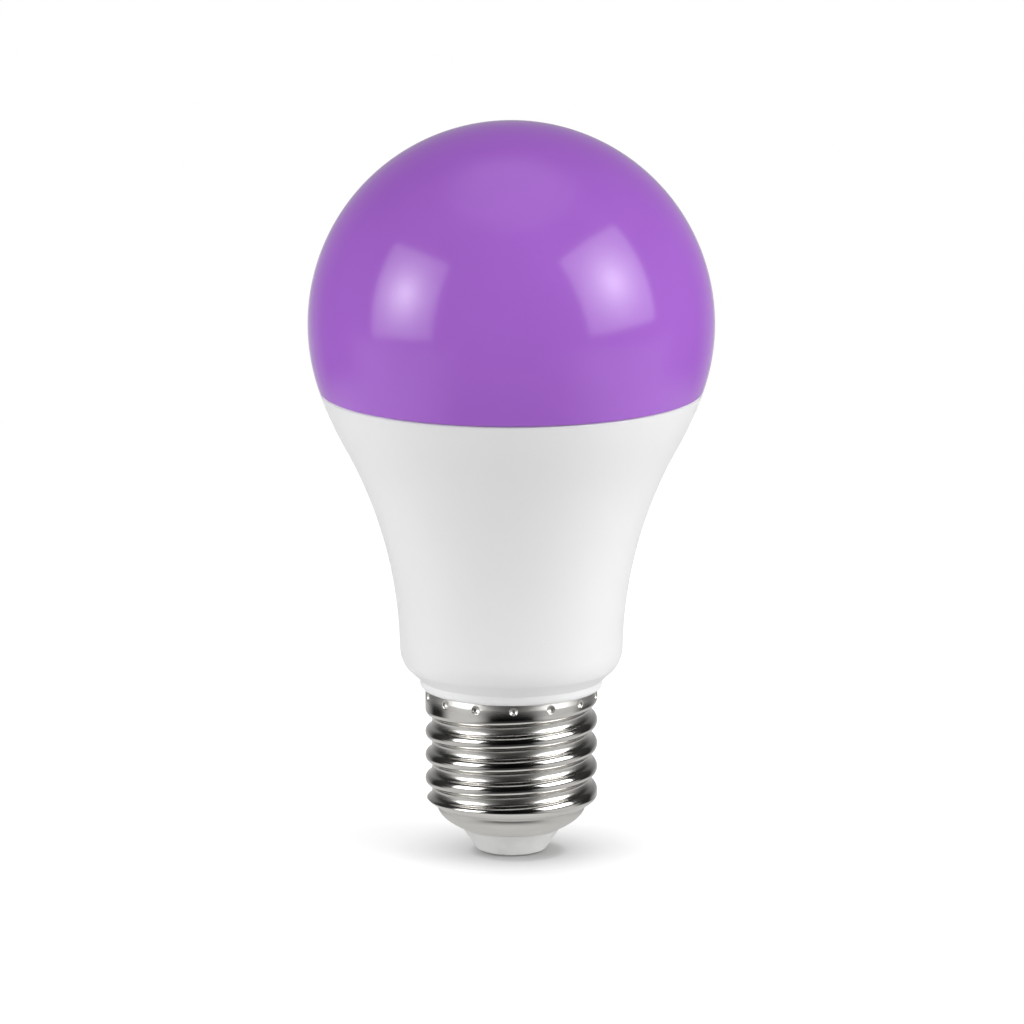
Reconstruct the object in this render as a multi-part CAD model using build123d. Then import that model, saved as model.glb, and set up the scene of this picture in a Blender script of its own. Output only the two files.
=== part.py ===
from build123d import *
import os
from math import ceil, cos, pi, radians, sin, sqrt

# An LED lamp with a screw cap, standing on its centre contact. All sizes are in millimetres.
# The origin is where the lamp's axis meets the surface that it stands on, and +Z runs up the axis.
# Outlines are drawn as radius and height, and turned about the axis.

# Centre contact
contact_radius = 4.5
contact_flange = 0.6
contact_proud = 0.2
contact_edge_round = 0.12
shank_radius = 1.1
shank_length = 3.4

# Insulator
insulator_foot_radius = 5.2
insulator_foot_round = 0.7
insulator_taper_height = 3.5
insulator_wall = 1.5
insulator_flange_height = 1.6

# Screw shell, of rolled sheet
sheet = 0.3
crest_radius = 13.1
thread_pitch = 3.629
thread_depth = 1.05
crest_land = 0.06
thread_turns = 4.0
thread_start_angle = 90.0
thread_fade_angle = 75.0
lip_radius = 7.7
nose_height = 3.4
nose_step = 1.75
nose_to_crest = 1.75
crest_to_band_top = 16.5
groove_above_nose = 1.4
band_lip_height = 0.9
band_lip_inset = 0.18

# Crimp dimples round the top of the screw shell
dimple_count = 14
dimple_width = 1.25
dimple_depth = 0.4
dimple_angle = 1.5

# Housing
housing_wall = 1.8
collar_overhang = 0.8
collar_height = 1.5
collar_edge_round = 0.9
shoulder_step = 2.0
shoulder_foot_height = 3.35
neck_step = 3.05
neck_height = 6.4
neck_draft = 1.1
flare_middle_radius = 25.4
flare_middle_height = 37.8
mouth_radius = 28.95
mouth_height = 45.9
mouth_edge_round = 0.35
spigot_wall = 1.5
spigot_depth = 9.0

# Diffuser
dome_height = 40.75
dome_wall = 1.2
dome_rim_proud = 0.05
dome_rim_round = 0.3
skirt_inset = 2.35
skirt_depth = 3.0
bead_radius = 0.35

# Clearances
seam_gap = 0.2
slip_clearance = 0.05
pocket_clearance = 0.05
thread_clearance = 0.1

# Heights of the seats, worked out up the lamp
insulator_foot = contact_proud
lip_height = insulator_foot + insulator_taper_height
nose_top = lip_height + nose_height
crest_start = nose_top + nose_to_crest
shell_top = crest_start + crest_to_band_top
crease_height = shell_top - band_lip_height
groove_start = nose_top + groove_above_nose
mouth_level = shell_top + mouth_height
rim_level = mouth_level + seam_gap
skirt_foot = rim_level - skirt_depth
bead_level = rim_level - skirt_depth / 2
dome_top = rim_level + dome_height

# Radii that follow the screw cap
nose_radius = crest_radius - nose_step
collar_radius = crest_radius + collar_overhang
shoulder_foot_radius = collar_radius + shoulder_step
neck_radius = collar_radius + neck_step

# Radii that follow the housing's mouth, and the sphere that rises to the dome's height from its rim
dome_rim_radius = mouth_radius + dome_rim_proud
skirt_radius = mouth_radius - skirt_inset
dome_radius = (dome_rim_radius**2 + dome_height**2) / (2 * dome_height)
dome_centre = dome_top - dome_radius

# Radii inside the screw shell
band_bore = crest_radius - sheet
root_bore = band_bore - thread_depth
spigot_radius = root_bore - thread_clearance
dimple_ball = (dimple_width**2 / 4 + dimple_depth**2) / (2 * dimple_depth)


def turned(outline, rounds=()):
    """Turn a closed outline about the axis, with its named corners rounded first."""
    face = make_face([Plane.XZ * edge for edge in outline])
    for radius, height, size in rounds:
        corner = face.vertices().sort_by_distance((radius, 0, height))[0]
        face = fillet(corner, size)
    return revolve(face, Axis.Z)


def chain(*points):
    """Straight edges from each point to the next."""
    return [Line(a, b) for a, b in zip(points, points[1:])]


def make_centre_contact():
    """A flat flange that carries the lamp, with a shank up through the insulator."""
    outline = chain(
        (0, 0),
        (contact_radius, 0),
        (contact_radius, contact_flange),
        (shank_radius, contact_flange),
        (shank_radius, shank_length),
        (0, shank_length),
        (0, 0),
    )
    return turned(outline, [(contact_radius, 0, contact_edge_round)])


def nose_edges(inset):
    """The drawn-in nose of the shell, from its lip up to the plain cylinder under the thread."""
    lip = (lip_radius - inset / 3, lip_height + inset)
    shoulder = (nose_radius - inset, nose_top + inset / 3)
    start = (crest_radius - inset, crest_start)
    nose = Spline(lip, shoulder, tangents=[(1, 0.55), (0.15, 1)])
    under_thread = Spline(shoulder, start, tangents=[(0.8, 0.6), (0, 1)])
    return [nose, under_thread]


def shell_blank(inset):
    """The shell before its thread is rolled, as a solid; an inset gives its hollow."""
    nose, under_thread = nose_edges(inset)
    band = chain(
        (crest_radius - inset, crest_start),
        (crest_radius - inset, crease_height),
        (crest_radius - inset - band_lip_inset, shell_top),
        (0, shell_top),
        (0, lip_height),
        ((nose @ 0).X, lip_height),
    )
    if inset:
        band += chain(((nose @ 0).X, lip_height), nose @ 0)
    return turned([nose, under_thread, *band])


def groove_section(inset):
    """One groove of the thread: a root arc between two halves of the crests beside it.

    The outside has equal arcs on crest and root. The inside runs beside it, so the root arc
    grows and the crest arcs shrink by the inset.
    """
    half_pitch = thread_pitch / 2
    arc = (thread_depth**2 + half_pitch**2) / (4 * thread_depth)
    root_arc = arc + inset
    crest_arc = arc - inset
    crest_centre = thread_depth - crest_arc
    spread = sqrt((crest_centre - root_arc) ** 2 + half_pitch**2)
    tangent_out = root_arc + (crest_centre - root_arc) * root_arc / spread
    tangent_up = half_pitch * root_arc / spread
    edge_up = half_pitch - crest_land / 2
    edge_out = crest_centre + sqrt(crest_arc**2 - (half_pitch - edge_up) ** 2)
    middle_up = (tangent_up + edge_up) / 2
    middle_out = crest_centre + sqrt(crest_arc**2 - (half_pitch - middle_up) ** 2)
    outside = edge_out + thread_depth / 2
    outside_up = edge_up - thread_depth / 4
    return make_face(
        [
            ThreePointArc((tangent_out, -tangent_up), (0, 0), (tangent_out, tangent_up)),
            ThreePointArc((tangent_out, tangent_up), (middle_out, middle_up), (edge_out, edge_up)),
            *chain(
                (edge_out, edge_up),
                (outside, outside_up),
                (outside, -outside_up),
                (edge_out, -edge_up),
            ),
            ThreePointArc((edge_out, -edge_up), (middle_out, -middle_up), (tangent_out, -tangent_up)),
        ]
    )


def fade(share):
    """A smooth step from 0 to 1."""
    share = min(1, max(0, share))
    return share * share * (3 - 2 * share)


def groove(inset):
    """The helical groove, right-handed, whose ends rise out of the sheet."""
    root = crest_radius - inset - thread_depth
    rise = thread_depth * 1.1
    steps = ceil(thread_turns * 12)
    route = []
    for step in range(steps + 1):
        turn = thread_turns * step / steps
        from_start = turn * 360 / thread_fade_angle
        from_end = (thread_turns - turn) * 360 / thread_fade_angle
        radius = root + rise * (1 - fade(from_start) * fade(from_end))
        angle = radians(thread_start_angle) + 2 * pi * turn
        route.append((radius * cos(angle), radius * sin(angle), groove_start + thread_pitch * turn))
    path = Spline(*route)
    outward = Vector(route[0][0], route[0][1], 0)
    start = Plane(origin=path @ 0, x_dir=outward, z_dir=path % 0)
    return sweep(start * groove_section(inset), path, is_frenet=True)


def dimples(radius):
    """Balls on the crease of the band, one for each crimp."""
    place = crest_radius - dimple_depth + dimple_ball
    balls = []
    for index in range(dimple_count):
        angle = -90 + dimple_angle + index * 360 / dimple_count
        balls.append(Rot(Z=angle) * Pos(place, 0, crease_height) * Sphere(radius))
    return balls


def open_wall(outside, hollow):
    """The wall between two solids whose flat ends lie in the same planes, open at both ends."""
    solids = (outside, hollow)
    walls = [face for solid in solids for face in solid.faces() if face.geom_type != GeomType.PLANE]
    ends = [solid.faces().filter_by(GeomType.PLANE).sort_by(Axis.Z) for solid in solids]
    rims = [Face(big.outer_wire(), [small.outer_wire()]) for big, small in zip(*ends)]
    return Solid(Shell([*walls, *rims]))


def make_screw_shell():
    """Rolled sheet: drawn-in nose, helical thread, plain band, and dimples crimped inwards."""
    outside = shell_blank(0) - groove(0) - dimples(dimple_ball)
    hollow = shell_blank(sheet) - groove(sheet) - dimples(dimple_ball + sheet)
    return open_wall(outside, hollow)


def make_insulator():
    """A moulded cone below the shell's lip, with a flange inside the nose."""
    throat = lip_radius - sheet / 3 - slip_clearance
    flange_foot = lip_height + sheet + slip_clearance
    flange_radius = nose_radius - sheet - insulator_wall
    flange_rise = flange_foot + insulator_flange_height
    cup_floor = insulator_foot + contact_flange + insulator_wall
    outline = chain(
        (0, insulator_foot),
        (insulator_foot_radius, insulator_foot),
        (throat, lip_height - slip_clearance),
        (throat, flange_foot),
        (flange_radius, flange_rise),
        (flange_radius, flange_rise + insulator_wall),
        (flange_radius - insulator_wall, flange_rise + insulator_wall),
        (throat - insulator_wall, cup_floor),
        (0, cup_floor),
        (0, insulator_foot),
    )
    body = turned(outline, [(insulator_foot_radius, insulator_foot, insulator_foot_round)])
    seat = Cylinder(contact_radius, contact_flange, align=(Align.CENTER, Align.CENTER, Align.MIN))
    shank = Cylinder(shank_radius, shank_length, align=(Align.CENTER, Align.CENTER, Align.MIN))
    return body - seat - shank


def flare(inset, below=0.0):
    """The housing's trumpet wall as two tangent arcs, from the neck up to the mouth."""
    neck = (neck_radius - inset, shell_top + neck_height)
    middle = (flare_middle_radius - inset, shell_top + flare_middle_height)
    mouth = (mouth_radius - inset, mouth_level - below)
    draft = (sin(radians(neck_draft)), cos(radians(neck_draft)))
    lower = TangentArc(neck, middle, tangent=draft)
    upper = TangentArc(middle, mouth, tangent=lower % 1)
    return [lower, upper]


def make_housing():
    """One moulding: flared wall, rounded shoulder, collar and the spigot inside the shell."""
    outer_wall = flare(0)
    neck = outer_wall[0] @ 0
    shoulder_foot = (shoulder_foot_radius, shell_top + shoulder_foot_height)
    shoulder = TangentArc(neck, shoulder_foot, tangent=-(outer_wall[0] % 0))
    lip_bore = band_bore - band_lip_inset - slip_clearance
    snug = band_bore - slip_clearance
    spigot_top = crease_height - (snug - spigot_radius)
    spigot_foot = shell_top - spigot_depth
    bore = spigot_radius - spigot_wall
    socket = skirt_radius + slip_clearance
    inner_wall = flare(housing_wall, skirt_depth + housing_wall)
    inner_neck = inner_wall[0] @ 0
    inner_mouth = inner_wall[1] @ 1
    outside = chain(
        shoulder_foot,
        (collar_radius, shell_top + collar_height),
        (collar_radius, shell_top),
        (lip_bore, shell_top),
        (snug, crease_height),
        (spigot_radius, spigot_top),
        (spigot_radius, spigot_foot),
        (bore, spigot_foot),
        (bore, shell_top + collar_height),
        inner_neck,
    )
    mouth = chain(
        inner_mouth,
        (inner_mouth.X, skirt_foot),
        (socket, skirt_foot),
        (socket, mouth_level),
        (mouth_radius, mouth_level),
    )
    rounds = [
        (mouth_radius, mouth_level, mouth_edge_round),
        (collar_radius, shell_top, collar_edge_round),
    ]
    body = turned([*outer_wall, shoulder, *outside, *inner_wall, *mouth], rounds)
    body -= Pos(0, 0, bead_level) * Torus(skirt_radius, bead_radius + slip_clearance)
    return body - dimples(dimple_ball + sheet + pocket_clearance)


def make_diffuser():
    """A thin dome on a skirt that plugs into the housing's mouth and snaps in by a bead."""
    inner_radius = dome_radius - dome_wall
    shelf = rim_level + dome_wall
    shelf_radius = sqrt(inner_radius**2 - (dome_centre - shelf) ** 2)
    lean = radians(45)
    outer = ThreePointArc(
        (0, dome_top),
        (dome_radius * sin(lean), dome_centre + dome_radius * cos(lean)),
        (dome_rim_radius, rim_level),
    )
    inner = ThreePointArc(
        (shelf_radius, shelf),
        (inner_radius * sin(lean), dome_centre + inner_radius * cos(lean)),
        (0, dome_top - dome_wall),
    )
    rim = chain(
        (dome_rim_radius, rim_level),
        (skirt_radius, rim_level),
        (skirt_radius, skirt_foot),
        (skirt_radius - dome_wall, skirt_foot),
        (skirt_radius - dome_wall, shelf),
        (shelf_radius, shelf),
    )
    crown = Line((0, dome_top - dome_wall), (0, dome_top))
    dome = turned([outer, *rim, inner, crown], [(dome_rim_radius, rim_level, dome_rim_round)])
    return dome + Pos(0, 0, bead_level) * Torus(skirt_radius, bead_radius)


nodes = {
    "centre_contact": make_centre_contact,
    "insulator": make_insulator,
    "screw_shell": make_screw_shell,
    "housing": make_housing,
    "diffuser": make_diffuser,
}

os.makedirs("parts", exist_ok=True)
for name, make in nodes.items():
    export_step(make(), f"parts/{name}.step")
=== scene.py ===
"""A coloured LED lamp with a screw cap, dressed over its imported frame, in a plain white studio."""

from math import atan2, ceil, cos, degrees, hypot, pi, radians, sin, sqrt, tan

import bmesh
import bpy
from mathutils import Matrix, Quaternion, Vector


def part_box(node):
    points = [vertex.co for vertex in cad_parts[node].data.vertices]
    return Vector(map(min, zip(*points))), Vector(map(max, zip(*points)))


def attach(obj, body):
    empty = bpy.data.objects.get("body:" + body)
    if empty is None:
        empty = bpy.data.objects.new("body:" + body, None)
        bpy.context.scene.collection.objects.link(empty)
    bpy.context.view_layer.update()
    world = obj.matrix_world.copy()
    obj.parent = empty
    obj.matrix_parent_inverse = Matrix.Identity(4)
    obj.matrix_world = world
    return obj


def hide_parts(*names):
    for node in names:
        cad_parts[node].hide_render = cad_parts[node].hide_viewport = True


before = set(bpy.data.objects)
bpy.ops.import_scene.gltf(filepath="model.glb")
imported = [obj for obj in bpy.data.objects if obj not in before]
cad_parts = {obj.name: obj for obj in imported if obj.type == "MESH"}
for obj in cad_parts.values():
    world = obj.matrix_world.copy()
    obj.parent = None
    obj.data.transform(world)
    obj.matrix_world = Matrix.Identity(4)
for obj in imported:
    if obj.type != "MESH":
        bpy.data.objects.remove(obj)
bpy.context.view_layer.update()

MM = 0.001


def node_box(node):
    """A node's lowest and highest corners, in millimetres."""
    low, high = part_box(node)
    return low / MM, high / MM


contact_high = node_box("centre_contact")[1]
insulator_low, insulator_high = node_box("insulator")
shell_low, shell_high = node_box("screw_shell")
housing_low, housing_high = node_box("housing")
diffuser_low, diffuser_high = node_box("diffuser")

# Sizes of the pieces, in millimetres. Heights and outer sizes come from the frame.
contact_radius = contact_high.x
contact_flange = 0.6
contact_edge_round = 0.12
shank_radius = 1.1
insulator_foot_radius = 5.2
insulator_foot_round = 0.7
insulator_wall = 1.5
sheet = 0.3
crest_radius = shell_high.x
thread_pitch = 3.629
thread_depth = 1.05
thread_turns = 4.0
thread_start_turn = 0.25
thread_fade_turns = 75 / 360
thread_fade_lift = 1.1 * thread_depth
lip_radius = 7.7
nose_height = 3.4
nose_step = 1.75
nose_to_crest = 1.75
groove_above_nose = 1.4
band_lip_height = 0.9
band_lip_inset = 0.18
dimple_count = 14
dimple_width = 1.25
dimple_depth = 0.4
dimple_angle = 1.5
dimple_edge_softness = 0.05
housing_wall = 1.8
collar_overhang = 0.8
collar_height = 1.5
collar_edge_round = 0.9
shoulder_step = 2.0
shoulder_foot_height = 3.35
neck_step = 3.05
neck_height = 6.4
neck_draft = 1.1
flare_middle_radius = 25.4
flare_middle_height = 37.8
mouth_radius = 28.95
mouth_edge_round = 0.35
spigot_wall = 1.5
seam_gap = 0.08
dome_wall = 1.2
dome_rim_proud = 0.05
dome_rim_round = 0.3
skirt_inset = 2.35
bead_radius = 0.35
slip_clearance = 0.05
thread_clearance = 0.1

# Directions of the nose's curves, as steps outward and upward
lip_direction = (1, 0.55)
nose_top_direction = (0.15, 1)
under_thread_direction = (0.8, 0.6)
wall_direction = (0, 1)

# Heights up the lamp
lip_height = shell_low.z
shell_top = shell_high.z
nose_top = lip_height + nose_height
crest_start = nose_top + nose_to_crest
crease_height = shell_top - band_lip_height
groove_start = nose_top + groove_above_nose
mouth_level = housing_high.z
rim_level = mouth_level + seam_gap
skirt_foot = diffuser_low.z
bead_level = (rim_level + skirt_foot) / 2
dome_top = diffuser_high.z
shelf_level = rim_level + dome_wall

# Radii
nose_radius = crest_radius - nose_step
collar_radius = crest_radius + collar_overhang
shoulder_foot_radius = collar_radius + shoulder_step
neck_radius = collar_radius + neck_step
spigot_radius = crest_radius - sheet - thread_depth - thread_clearance
skirt_radius = mouth_radius - skirt_inset
dome_rim_radius = mouth_radius + dome_rim_proud
dome_height = dome_top - rim_level
dome_radius = (dome_rim_radius**2 + dome_height**2) / (2 * dome_height)
dome_centre = dome_top - dome_radius
half_pitch = thread_pitch / 2
thread_arc = (thread_depth**2 + half_pitch**2) / (4 * thread_depth)
dimple_ball = (dimple_width**2 / 4 + dimple_depth**2) / (2 * dimple_depth)

# Fineness of the meshes. Lengths are in millimetres and angles in degrees.
on_axis = 1e-6
sharp_angle = 32
sheet_spacing_outside = 0.12
sheet_spacing_inside = 0.6
spacing_share_at_dimples = 0.6
rows_reach_below_crease = 0.6 * dimple_width
columns_reach_beside_dimple = 0.58 * dimple_width
columns_at_dimple = 16
columns_between_dimples = 8
nose_rows_length = 3.6
under_thread_rows_length = 2.2
last_row_below_crease = 0.04
true_normals_below_crease = 0.1
normal_step = 0.01


# Outlines, drawn as radius and height

def arc(centre, radius, start, end, steps):
    """Points on a round stretch between two angles in degrees, with both ends."""
    angles = [radians(start + (end - start) * step / steps) for step in range(steps + 1)]
    return [(centre[0] + radius * cos(angle), centre[1] + radius * sin(angle)) for angle in angles]


def curve(start, leaving, end, arriving, steps):
    """Points on a smooth curve that leaves and arrives along two directions, without its start."""
    start, end = Vector(start), Vector(end)
    reach = (end - start).length / 3
    leave = start + Vector(leaving).normalized() * reach
    arrive = end - Vector(arriving).normalized() * reach
    points = []
    for step in range(1, steps + 1):
        t = step / steps
        spot = start * (1 - t) ** 3 + leave * 3 * t * (1 - t) ** 2
        spot += arrive * 3 * t * t * (1 - t) + end * t**3
        points.append(tuple(spot))
    return points


def swung(centre, spoke, angle):
    """The far end of a spoke that is turned about its centre by an angle."""
    x = centre.x + spoke.x * cos(angle) - spoke.y * sin(angle)
    y = centre.y + spoke.x * sin(angle) + spoke.y * cos(angle)
    return x, y


def tangent_arc(start, leaving, end, steps):
    """Points on the arc that leaves along a direction, without its start, and its last direction."""
    start, end, along = Vector(start), Vector(end), Vector(leaving).normalized()
    chord = end - start
    side = Vector((-along.y, along.x))
    radius = chord.length_squared / (2 * chord.dot(side))
    centre = start + side * radius
    turn = 2 * atan2(chord.dot(side), chord.dot(along))
    points = [swung(centre, start - centre, turn * step / steps) for step in range(1, steps + 1)]
    return points, swung(Vector((0, 0)), along, turn)


def rounded(before, corner, after, radius, steps=8):
    """Points on the arc that rounds a corner off."""
    corner = Vector(corner)
    back = (Vector(before) - corner).normalized()
    onward = (Vector(after) - corner).normalized()
    half = back.angle(onward) / 2
    centre = corner + (back + onward).normalized() * (radius / sin(half))
    spoke = corner + back * (radius / tan(half)) - centre
    turn = pi - 2 * half
    if back.cross(onward) > 0:
        turn = -turn
    return [swung(centre, spoke, turn * step / steps) for step in range(steps + 1)]


def divided(start, end, spacing):
    """Points along a straight stretch, without its start."""
    start, end = Vector(start), Vector(end)
    steps = ceil((end - start).length / spacing)
    return [tuple(start.lerp(end, step / steps)) for step in range(1, steps + 1)]


# Meshes

def add_mesh(name, vertices, faces, normals=None):
    """An object on the lamp's frame from points in millimetres, smooth apart from its real edges."""
    mesh = bpy.data.meshes.new(name)
    mesh.from_pydata([Vector(vertex) * MM for vertex in vertices], [], faces)
    shape = bmesh.new()
    shape.from_mesh(mesh)
    bmesh.ops.recalc_face_normals(shape, faces=shape.faces)
    shape.to_mesh(mesh)
    shape.free()
    mesh.shade_smooth()
    mesh.set_sharp_from_angle(angle=radians(sharp_angle))
    if normals:
        mesh.normals_split_custom_set_from_vertices(normals)
    piece = bpy.data.objects.new(name, mesh)
    bpy.context.collection.objects.link(piece)
    return piece


def ring_faces(rings):
    """Faces between each ring of vertices and the next, without those that have no width."""
    faces = []
    for ring, beyond in zip(rings, rings[1:]):
        for column in range(len(ring)):
            corners = [ring[column - 1], ring[column], beyond[column], beyond[column - 1]]
            face = list(dict.fromkeys(corners))
            if len(face) > 2:
                faces.append(face)
    return faces


def turned(name, outline, columns=256):
    """A closed outline turned about the axis. Points on the axis become one vertex each."""
    vertices = []
    rings = []
    for radius, height in outline:
        first = len(vertices)
        if radius < on_axis:
            vertices.append((0, 0, height))
            rings.append([first] * columns)
            continue
        for column in range(columns):
            angle = 2 * pi * column / columns
            vertices.append((radius * cos(angle), radius * sin(angle), height))
        rings.append(list(range(first, first + columns)))
    return add_mesh(name, vertices, ring_faces(rings + rings[:1]))


# Diffuser and housing

def make_diffuser():
    """A thin dome on a skirt that plugs into the housing's mouth, with its snap bead."""
    inner_radius = dome_radius - dome_wall
    round_up = rim_level + dome_rim_round - dome_centre
    round_out = sqrt((dome_radius - dome_rim_round) ** 2 - round_up**2)
    rim_angle = degrees(atan2(round_up, round_out))
    shelf_out = sqrt(inner_radius**2 - (dome_centre - shelf_level) ** 2)
    shelf_angle = degrees(atan2(shelf_level - dome_centre, shelf_out))
    outline = [
        *arc((0, dome_centre), dome_radius, 90, rim_angle, steps=110),
        *arc((round_out, dome_centre + round_up), dome_rim_round, rim_angle, -90, steps=8)[1:],
        (skirt_radius, rim_level),
        *arc((skirt_radius, bead_level), bead_radius, 90, -90, steps=8),
        (skirt_radius, skirt_foot),
        (skirt_radius - dome_wall, skirt_foot),
        (skirt_radius - dome_wall, shelf_level),
        *arc((0, dome_centre), inner_radius, shelf_angle, 90, steps=50),
    ]
    return turned("diffuser_moulding", outline)


def flare(inset, below, steps):
    """The trumpet wall from the neck up to the mouth, and its first direction."""
    neck = (neck_radius - inset, shell_top + neck_height)
    middle = (flare_middle_radius - inset, shell_top + flare_middle_height)
    mouth = (mouth_radius - inset, mouth_level - below)
    draft = (sin(radians(neck_draft)), cos(radians(neck_draft)))
    lower, onward = tangent_arc(neck, draft, middle, steps)
    upper, _ = tangent_arc(middle, onward, mouth, steps // 3)
    return [neck, *lower, *upper], draft


def make_housing():
    """One moulding: flared wall, rounded shoulder, collar and the spigot inside the shell."""
    wall, draft = flare(inset=0, below=0, steps=90)
    shelf_depth = rim_level - skirt_foot - seam_gap
    inner_wall, _ = flare(inset=housing_wall, below=shelf_depth + housing_wall, steps=30)
    shoulder_foot = (shoulder_foot_radius, shell_top + shoulder_foot_height)
    shoulder, _ = tangent_arc(wall[0], (-draft[0], -draft[1]), shoulder_foot, steps=24)
    collar_top = (collar_radius, shell_top + collar_height)
    collar_corner = (collar_radius, shell_top)
    under_collar = (spigot_radius, shell_top)
    bore = spigot_radius - spigot_wall
    socket = skirt_radius + slip_clearance
    mouth = (mouth_radius, mouth_level)
    inside_mouth = (socket, mouth_level)
    outline = [
        *rounded(inside_mouth, mouth, wall[-2], mouth_edge_round),
        *reversed(wall[:-1]),
        *shoulder,
        *divided(shoulder_foot, collar_top, spacing=0.3),
        *rounded(collar_top, collar_corner, under_collar, collar_edge_round, steps=12),
        under_collar,
        (spigot_radius, housing_low.z),
        (bore, housing_low.z),
        (bore, shell_top + collar_height),
        *inner_wall,
        (inner_wall[-1][0], skirt_foot),
        (socket, skirt_foot),
        inside_mouth,
    ]
    return turned("housing_moulding", outline)


# Screw shell

def fade(share):
    """A smooth step from 0 to 1."""
    share = min(1, max(0, share))
    return share * share * (3 - 2 * share)


def groove_rise(away, inset):
    """How far the groove stands out from its root, at a height away from its middle."""
    root_arc = thread_arc + inset
    crest_arc = thread_arc - inset
    crest_centre = thread_depth - crest_arc
    tangent_up = half_pitch * root_arc / hypot(crest_centre - root_arc, half_pitch)
    if away < tangent_up:
        return root_arc - sqrt(root_arc**2 - away**2)
    return crest_centre + sqrt(crest_arc**2 - (half_pitch - away) ** 2)


def threaded_radius(angle, radius, height, inset):
    """The blank's radius with the helical groove rolled into it, both of whose ends rise out."""
    turn = (angle / (2 * pi) - thread_start_turn) % 1
    while turn < thread_turns:
        away = abs(height - groove_start - thread_pitch * turn)
        if away < half_pitch:
            kept = fade(turn / thread_fade_turns) * fade((thread_turns - turn) / thread_fade_turns)
            root = crest_radius - inset - thread_depth + thread_fade_lift * (1 - kept)
            radius = min(radius, root + groove_rise(away, inset))
        turn += 1
    return radius


def crimped_radius(angle, radius, height, inset):
    """A radius on the band with the dimples pressed into it, their edges slightly soft."""
    period = 2 * pi / dimple_count
    from_dimple = (angle + pi / 2 - radians(dimple_angle)) % period
    from_dimple = min(from_dimple, period - from_dimple)
    place = crest_radius - dimple_depth + dimple_ball
    across = place * cos(from_dimple)
    reach = across**2 - place**2 - (height - crease_height) ** 2 + (dimple_ball + inset) ** 2
    if reach <= 0:
        return radius
    pressed = radius - (across - sqrt(reach))
    return radius - (pressed + hypot(pressed, dimple_edge_softness)) / 2


def sheet_radius(angle, blank, height, inset):
    """The sheet's radius with its thread and its dimples, at an inset from its outside."""
    threaded = threaded_radius(angle, blank, height, inset)
    return crimped_radius(angle, threaded, height, inset)


def rolled_normal(angle, height):
    """The true normal of the sheet's outside where its blank is straight."""
    turn = normal_step / crest_radius
    above = sheet_radius(angle, crest_radius, height + normal_step, 0)
    below = sheet_radius(angle, crest_radius, height - normal_step, 0)
    onward = sheet_radius(angle + turn, crest_radius, height, 0)
    back = sheet_radius(angle - turn, crest_radius, height, 0)
    rise = (above - below) / (2 * normal_step)
    swing = (onward - back) / (2 * normal_step)
    outward = Vector((cos(angle), sin(angle), 0))
    sideways = Vector((-sin(angle), cos(angle), 0))
    return (outward - sideways * swing - Vector((0, 0, rise))).normalized()


def shell_rows(inset, spacing):
    """Radius and height of the blank at each row, from the sheet's lip to its top."""
    lip = (lip_radius - inset / 3, lip_height + inset)
    shoulder = (nose_radius - inset, nose_top + inset / 3)
    wall = crest_radius - inset
    wall_foot = (wall, crest_start)
    fine_start = (wall, crease_height - rows_reach_below_crease)
    fine_end = (wall, crease_height - last_row_below_crease)
    fine_spacing = spacing * spacing_share_at_dimples
    crease = (wall, crease_height)
    top = (wall - band_lip_inset, shell_top)
    nose_steps = ceil(nose_rows_length / spacing)
    under_thread_steps = ceil(under_thread_rows_length / spacing)
    rows = [
        lip,
        *curve(lip, lip_direction, shoulder, nose_top_direction, nose_steps),
        *curve(shoulder, under_thread_direction, wall_foot, wall_direction, under_thread_steps),
        *divided(wall_foot, fine_start, spacing),
        *divided(fine_start, fine_end, fine_spacing),
        crease,
        *divided(crease, top, fine_spacing),
    ]
    if inset:
        rows.insert(0, (lip[0], lip_height))
    return rows


def shell_columns():
    """Angles round the sheet, close together at each dimple."""
    period = 2 * pi / dimple_count
    reach = columns_reach_beside_dimple / crest_radius
    angles = []
    for dimple in range(dimple_count):
        start = -pi / 2 + radians(dimple_angle) + dimple * period - reach
        gap = start + 2 * reach
        angles += [start + 2 * reach * step / columns_at_dimple for step in range(columns_at_dimple)]
        for step in range(columns_between_dimples):
            angles.append(gap + (period - 2 * reach) * step / columns_between_dimples)
    return angles


def make_screw_shell():
    """Rolled sheet: drawn-in nose, helical thread, plain band, and dimples round its crease."""
    angles = shell_columns()
    vertices = []
    normals = []
    sides = []
    for inset, spacing in ((0, sheet_spacing_outside), (sheet, sheet_spacing_inside)):
        rings = []
        for blank, height in shell_rows(inset, spacing):
            straight = crest_start < height < crease_height - true_normals_below_crease
            rings.append(list(range(len(vertices), len(vertices) + len(angles))))
            for angle in angles:
                radius = sheet_radius(angle, blank, height, inset)
                vertices.append((radius * cos(angle), radius * sin(angle), height))
                own = rolled_normal(angle, height) if straight and not inset else Vector((0, 0, 0))
                normals.append(own)
        sides.append(rings)
    outside, inside = sides
    faces = ring_faces([*outside, *inside[::-1], outside[0]])
    return add_mesh("screw_shell_sheet", vertices, faces, normals)


# Insulator and centre contact

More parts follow.
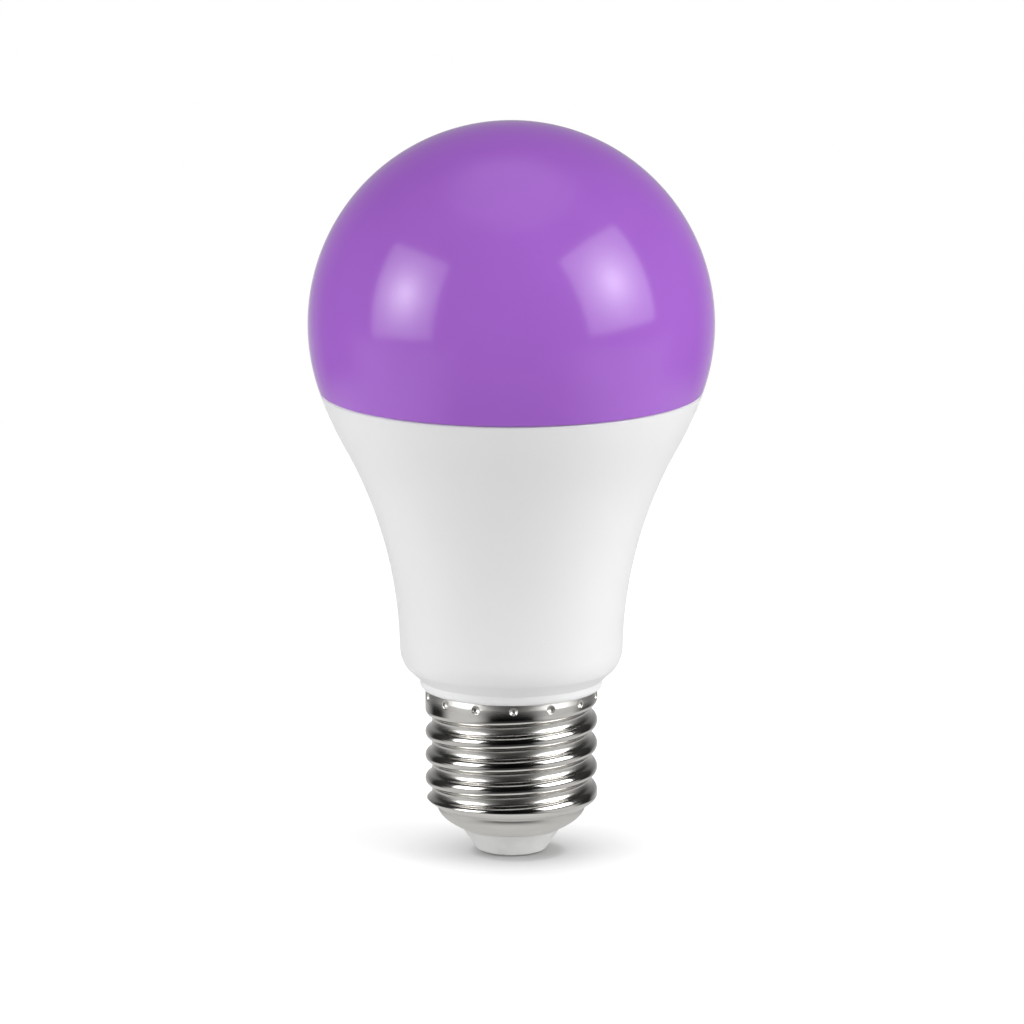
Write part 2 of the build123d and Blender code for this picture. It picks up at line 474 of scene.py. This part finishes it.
def make_insulator():
    """A moulded cone below the shell's lip, with a flange inside the nose."""
    throat = lip_radius - sheet / 3 - slip_clearance
    flange_foot = lip_height + sheet + slip_clearance
    flange_radius = nose_radius - sheet - insulator_wall
    flange_rise = insulator_high.z - insulator_wall
    foot = (insulator_foot_radius, insulator_low.z)
    cup_floor = insulator_low.z + contact_flange + insulator_wall
    cone_top = (throat, lip_height - slip_clearance)
    foot_inside = (contact_radius, insulator_low.z)
    outline = [
        foot_inside,
        *rounded(foot_inside, foot, cone_top, insulator_foot_round),
        *divided(foot, cone_top, spacing=0.4)[1:],
        (throat, flange_foot),
        (flange_radius, flange_rise),
        (flange_radius, insulator_high.z),
        (flange_radius - insulator_wall, insulator_high.z),
        (throat - insulator_wall, cup_floor),
        (shank_radius, cup_floor),
        (shank_radius, contact_flange),
        (contact_radius, contact_flange),
    ]
    return turned("insulator_moulding", outline, columns=192)


def make_centre_contact():
    """A flat flange that carries the lamp, with a shank up through the insulator."""
    edge = (contact_radius, 0)
    flange_top = (contact_radius, contact_flange)
    outline = [
        (0, 0),
        *rounded((0, 0), edge, flange_top, contact_edge_round),
        flange_top,
        (shank_radius, contact_flange),
        (shank_radius, contact_high.z),
        (0, contact_high.z),
    ]
    return turned("centre_contact_button", outline, columns=96)


# Nodes of materials and of the world

def grey(level):
    """A grey as a colour."""
    return (level, level, level, 1)


class Nodes:
    """A node tree, with short ways to add nodes and join them."""

    def __init__(self, tree):
        self.tree = tree

    def add(self, kind, **settings):
        """A node with its settings."""
        node = self.tree.nodes.new(kind)
        for name, value in settings.items():
            setattr(node, name, value)
        return node

    def feed(self, socket, value):
        """A link into a socket from an output, or a plain value set on it."""
        if isinstance(value, bpy.types.NodeSocket):
            self.tree.links.new(value, socket)
        else:
            socket.default_value = value

    def value(self, operation, *values):
        """The result of an operation on values."""
        node = self.add("ShaderNodeMath", operation=operation)
        for socket, value in zip(node.inputs, values):
            self.feed(socket, value)
        return node.outputs["Value"]

    def vector(self, operation, *vectors, result="Value"):
        """The result of an operation on vectors."""
        node = self.add("ShaderNodeVectorMath", operation=operation)
        for socket, vector in zip(node.inputs, vectors):
            self.feed(socket, vector)
        return node.outputs[result]

    def between(self, source, low, high, start=0.3, end=0.7):
        """A value that runs from low to high as the source runs from start to end."""
        spread = self.add("ShaderNodeMapRange")
        spread.inputs["From Min"].default_value = start
        spread.inputs["From Max"].default_value = end
        spread.inputs["To Min"].default_value = low
        spread.inputs["To Max"].default_value = high
        self.feed(spread.inputs["Value"], source)
        return spread.outputs["Result"]

    def blend(self, share, first, second):
        """A colour that goes from the first to the second with the share."""
        mix = self.add("ShaderNodeMix", data_type="RGBA")
        self.feed(mix.inputs["A"], first)
        self.feed(mix.inputs["B"], second)
        self.feed(mix.inputs["Factor"], share)
        return mix.outputs["Result"]

    def greys(self, source, levels):
        """A grey that follows pairs of a place along the source and a level."""
        ramp = self.add("ShaderNodeValToRGB")
        stops = ramp.color_ramp.elements
        for stop, (place, level) in ((stops[1], levels[-1]), (stops[0], levels[0])):
            stop.position = place
            stop.color = grey(level)
        for place, level in levels[1:-1]:
            stops.new(place).color = grey(level)
        self.feed(ramp.inputs["Fac"], source)
        return ramp.outputs["Color"]

    def curved(self, source, levels):
        """A value that follows a smooth curve through pairs of a source value and a level."""
        node = self.add("ShaderNodeFloatCurve")
        points = node.mapping.curves[0].points
        points[0].location = levels[0]
        points[-1].location = levels[-1]
        for place, level in levels[1:-1]:
            points.new(place, level)
        node.mapping.update()
        self.feed(node.inputs["Value"], source)
        return node.outputs["Value"]


class Shader(Nodes):
    """A material's nodes, with noise and relief laid out in millimetres."""

    def __init__(self, name):
        self.material = bpy.data.materials.new(name)
        self.material.use_nodes = True
        super().__init__(self.material.node_tree)
        self.surface = self.tree.nodes["Principled BSDF"]
        self.place = self.add("ShaderNodeTexCoord").outputs["Object"]

    def noise(self, size, detail=2.0, stretch=(1, 1, 1)):
        """Soft noise whose blobs are about a size in millimetres, drawn out along an axis."""
        mapping = self.add("ShaderNodeMapping")
        mapping.inputs["Scale"].default_value = stretch
        self.feed(mapping.inputs["Vector"], self.place)
        noise = self.add("ShaderNodeTexNoise")
        noise.inputs["Scale"].default_value = 1 / (size * MM)
        noise.inputs["Detail"].default_value = detail
        self.feed(noise.inputs["Vector"], mapping.outputs["Vector"])
        return noise.outputs["Fac"]

    def relief(self, source, height, below=None):
        """Surface relief of a height in millimetres, laid over other relief."""
        bump = self.add("ShaderNodeBump")
        bump.inputs["Distance"].default_value = height * MM
        self.feed(bump.inputs["Height"], source)
        if below:
            self.feed(bump.inputs["Normal"], below)
        return bump.outputs["Normal"]

    def set(self, **values):
        """Values or outputs for the surface's sockets, whose names have spaces."""
        for name, value in values.items():
            self.feed(self.surface.inputs[name.replace("_", " ")], value)


# Materials

def purple_plastic():
    """Glossy opaque moulding with a trace of orange peel and of uneven pigment."""
    shader = Shader("purple_plastic")
    pigment = shader.between(shader.noise(14, detail=3), 0, 1)
    peel = shader.relief(shader.noise(2.6, detail=1), height=0.0025)
    shader.set(
        Base_Color=shader.blend(pigment, (0.378, 0.131, 0.618, 1), (0.393, 0.137, 0.641, 1)),
        Roughness=shader.between(shader.noise(9, detail=4), 0.12, 0.15),
        IOR=1.49,
        Normal=shader.relief(shader.noise(0.5), height=0.0003, below=peel),
    )
    return shader.material


def white_plastic():
    """Satin moulding with a fine spark-eroded grain."""
    shader = Shader("white_plastic")
    shade = shader.between(shader.noise(18, detail=3), 0, 1)
    waves = shader.relief(shader.noise(5), height=0.002)
    shader.set(
        Base_Color=shader.blend(shade, (0.845, 0.845, 0.85, 1), (0.86, 0.86, 0.862, 1)),
        Roughness=shader.between(shader.noise(7, detail=4), 0.40, 0.47),
        IOR=1.5,
        Normal=shader.relief(shader.noise(0.16, detail=3), height=0.0014, below=waves),
    )
    return shader.material


def nickel_plate():
    """Nickel on rolled sheet: the thread's crests are burnished, the grooves, band and nose satin."""
    shader = Shader("nickel_plate")
    split = shader.add("ShaderNodeSeparateXYZ")
    shader.feed(split.inputs["Vector"], shader.place)
    height = split.outputs["Z"]
    level_place = shader.vector("MULTIPLY", shader.place, (1, 1, 0), result="Vector")
    from_axis = shader.vector("LENGTH", level_place)
    root_radius = crest_radius - thread_depth
    groove_edge = crest_radius - 0.6 * thread_depth
    band_fade_foot = crease_height - 2.0
    in_groove = shader.between(from_axis, 0.32, 0.0, root_radius * MM, groove_edge * MM)
    on_nose = shader.between(height, 0.36, 0.0, nose_top * MM, crest_start * MM)
    on_band = shader.between(height, 0.0, 0.40, band_fade_foot * MM, crease_height * MM)
    smudge = shader.between(shader.noise(3.5, detail=5), 0, 1, 0.38, 0.66)
    roughness = shader.between(smudge, 0.12, 0.16, 0, 1)
    for satin in (in_groove, on_nose, on_band):
        roughness = shader.value("MAXIMUM", roughness, satin)
    shader.set(
        Base_Color=shader.blend(smudge, (0.80, 0.785, 0.755, 1), (0.77, 0.752, 0.72, 1)),
        Metallic=1.0,
        Roughness=roughness,
        Normal=shader.relief(shader.noise(2.2), height=0.001),
    )
    return shader.material


def off_white_plastic():
    """Matt moulding with a fine grain, slightly greyed by handling."""
    shader = Shader("off_white_plastic")
    dust = shader.between(shader.noise(2.4, detail=5), 0, 1)
    shader.set(
        Base_Color=shader.blend(dust, (0.70, 0.70, 0.69, 1), (0.76, 0.76, 0.755, 1)),
        Roughness=shader.between(dust, 0.62, 0.52, 0, 1),
        IOR=1.5,
        Normal=shader.relief(shader.noise(0.2, detail=4), height=0.004),
    )
    return shader.material


def contact_metal():
    """Plated contact with light rubbing marks."""
    shader = Shader("contact_metal")
    rubbed = shader.between(shader.noise(0.9, detail=6), 0, 1)
    marks = shader.noise(0.4, detail=4, stretch=(8, 1, 1))
    shader.set(
        Base_Color=shader.blend(rubbed, (0.60, 0.59, 0.56, 1), (0.70, 0.69, 0.66, 1)),
        Metallic=1.0,
        Roughness=shader.between(rubbed, 0.34, 0.22, 0, 1),
        Normal=shader.relief(marks, height=0.002),
    )
    return shader.material


# Studio, in metres and degrees

softbox_distance = 0.8
softbox_fall_off = 2.0
softbox_glow_share = 0.85
floor_radius = 0.35
floor_corners = 96
# Middle and reach of the floor's painted shadow, a camera-only glow that rises away from the lamp
painted_shadow_middle = (0.001, -0.001, 0)
painted_shadow_reach = 0.12


def studio_sheet(name, corners):
    """A flat object from its corners."""
    mesh = bpy.data.meshes.new(name)
    mesh.from_pydata([(x, y, 0) for x, y in corners], [], [range(len(corners))])
    piece = bpy.data.objects.new(name, mesh)
    bpy.context.collection.objects.link(piece)
    return piece


def softbox(name, azimuth, elevation, roll, half_width, half_height, middle_light, edge_light):
    """A softbox that faces the dome, brightest in its middle, that the camera itself doesn't see."""
    signs = ((-1, -1), (1, -1), (1, 1), (-1, 1))
    piece = studio_sheet(name, [(half_width * x, half_height * y) for x, y in signs])
    level_reach = cos(radians(elevation))
    out_x = sin(radians(azimuth)) * level_reach
    out_y = -cos(radians(azimuth)) * level_reach
    out = Vector((out_x, out_y, sin(radians(elevation))))
    piece.location = Vector((0, 0, dome_centre * MM)) + out * softbox_distance
    piece.rotation_mode = "QUATERNION"
    facing = (-out).to_track_quat("Z", "Y")
    piece.rotation_quaternion = facing @ Quaternion((0, 0, 1), radians(roll))
    piece.visible_camera = False
    shader = Shader(name)
    from_middle = shader.vector("LENGTH", shader.place)
    glow_reach = hypot(half_width, half_height) * softbox_glow_share
    nearness = shader.between(from_middle, 1, 0, 0, glow_reach)
    glow = shader.value("POWER", nearness, softbox_fall_off)
    light = shader.add("ShaderNodeEmission")
    shader.feed(light.inputs["Strength"], shader.between(glow, edge_light, middle_light, 0, 1))
    output = shader.tree.nodes["Material Output"]
    shader.feed(output.inputs["Surface"], light.outputs["Emission"])
    piece.data.materials.append(shader.material)


def make_floor():
    """White ground with the lamp's soft shadow, partly real and partly painted: to the camera it is greyer
    and glows, nil by the base and rising with distance, clear white away from it.
    """
    turns = [2 * pi * corner / floor_corners for corner in range(floor_corners)]
    floor = studio_sheet("floor", [(floor_radius * cos(turn), floor_radius * sin(turn)) for turn in turns])
    floor.visible_glossy = False
    shader = Shader("floor")
    seen = shader.add("ShaderNodeLightPath").outputs["Is Camera Ray"]
    # Painted shadow: the camera sees a greyer floor, and a glow that is nil near the lamp's base and grows
    # with distance from its middle. The dark round the base is painted shade laid over the real shadow.
    away = shader.between(shader.vector("DISTANCE", shader.place, painted_shadow_middle), 0, 1, 0, painted_shadow_reach)
    near = ((0, 0), (0.035, 0.02), (0.065, 0.30), (0.09, 0.44), (0.115, 0.54), (0.14, 0.61))
    far = ((0.165, 0.67), (0.2, 0.71), (0.3, 0.76), (1, 0.9))
    shader.set(
        Base_Color=shader.blend(seen, grey(0.88), grey(0.45)),
        Roughness=1.0,
        Specular_IOR_Level=0.0,
        Emission_Color=grey(1),
        Emission_Strength=shader.value("MULTIPLY", shader.curved(away, (*near, *far)), seen),
    )
    floor.data.materials.append(shader.material)


def make_world():
    """White to the camera; dark and light surroundings in reflections; even light on the rest."""
    world = bpy.data.worlds.new("studio")
    world.use_nodes = True
    world.node_tree.nodes.clear()
    nodes = Nodes(world.node_tree)
    path = nodes.add("ShaderNodeLightPath")
    split = nodes.add("ShaderNodeSeparateXYZ")
    nodes.feed(split.inputs["Vector"], nodes.add("ShaderNodeTexCoord").outputs["Generated"])
    sideways = nodes.value("ABSOLUTE", split.outputs["X"])
    backward = split.outputs["Y"]
    height = nodes.between(split.outputs["Z"], 0, 1, -1, 1)

    front_low = ((0, 0.7), (0.06, 0.7), (0.13, 0.05), (0.32, 0.03))
    front_high = ((0.38, 0), (0.93, 0), (0.98, 0.6))
    front = nodes.greys(height, front_low + front_high)
    side = nodes.greys(height, ((0, 0.62), (0.43, 0.62), (0.47, 0.02), (0.92, 0.03), (0.97, 0.6)))
    side_back = nodes.greys(height, ((0, 0.62), (0.28, 0.62), (0.35, 0.02), (0.92, 0.03), (0.97, 0.6)))
    back = nodes.greys(height, ((0, 0.62), (0.40, 0.62), (0.50, 0.42), (0.72, 0.28), (1, 0.2)))
    front_half = nodes.blend(nodes.between(sideways, 0, 1, 0.45, 0.72), front, side)
    around = nodes.blend(nodes.between(backward, 0, 1, 0, 0.3), front_half, side_back)
    reflected = nodes.blend(nodes.between(backward, 0, 1, 0.62, 0.97), around, back)

    even = nodes.greys(height, ((0, 0.22), (0.5, 0.15), (1, 0.38)))
    low_front = nodes.blend(nodes.between(backward, 0, 1, -0.9, -0.3), grey(0.10), even)
    soft = nodes.blend(nodes.between(backward, 0, 1, 0.2, 0.9), low_front, grey(0.55))
    lighting = nodes.blend(path.outputs["Is Glossy Ray"], soft, reflected)
    seen = nodes.blend(path.outputs["Is Camera Ray"], lighting, grey(1))

    background = nodes.add("ShaderNodeBackground")
    output = nodes.add("ShaderNodeOutputWorld")
    nodes.feed(background.inputs["Color"], seen)
    nodes.feed(output.inputs["Surface"], background.outputs["Background"])
    bpy.context.scene.world = world


def make_camera():
    """The photograph's view: from straight ahead and a little above."""
    elevation = radians(11.7)
    distance = 1.29
    target = Vector((0.0001, 0, 0.0525))
    data = bpy.data.cameras.new("camera")
    data.lens = 299.3
    data.sensor_width = 36
    data.clip_start = 0.05
    camera = bpy.data.objects.new("camera", data)
    camera.location = target + Vector((0, -cos(elevation), sin(elevation))) * distance
    camera.rotation_mode = "QUATERNION"
    camera.rotation_quaternion = (target - camera.location).to_track_quat("-Z", "Y")
    bpy.context.collection.objects.link(camera)
    bpy.context.scene.camera = camera


pieces = (
    (make_centre_contact, "centre_contact", "contact_metal", contact_metal),
    (make_insulator, "insulator", "insulator_plastic", off_white_plastic),
    (make_screw_shell, "screw_shell", "plated_sheet", nickel_plate),
    (make_housing, "housing", "housing_plastic", white_plastic),
    (make_diffuser, "diffuser", "diffuser_plastic", purple_plastic),
)
for make, node, slot, finish in pieces:
    piece = make()
    piece.data.materials.append(finish())
    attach(piece, "root")
    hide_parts(node)

make_floor()
softbox(
    "left_softbox",
    azimuth=-65.6,
    elevation=18.4,
    roll=-4.7,
    half_width=0.30,
    half_height=0.31,
    middle_light=11.3,
    edge_light=2.0,
)
softbox(
    "right_softbox",
    azimuth=65.4,
    elevation=24.7,
    roll=-1.5,
    half_width=0.345,
    half_height=0.335,
    middle_light=11.2,
    edge_light=2.4,
)
make_world()
make_camera()
bpy.context.scene.view_settings.view_transform = "Standard"
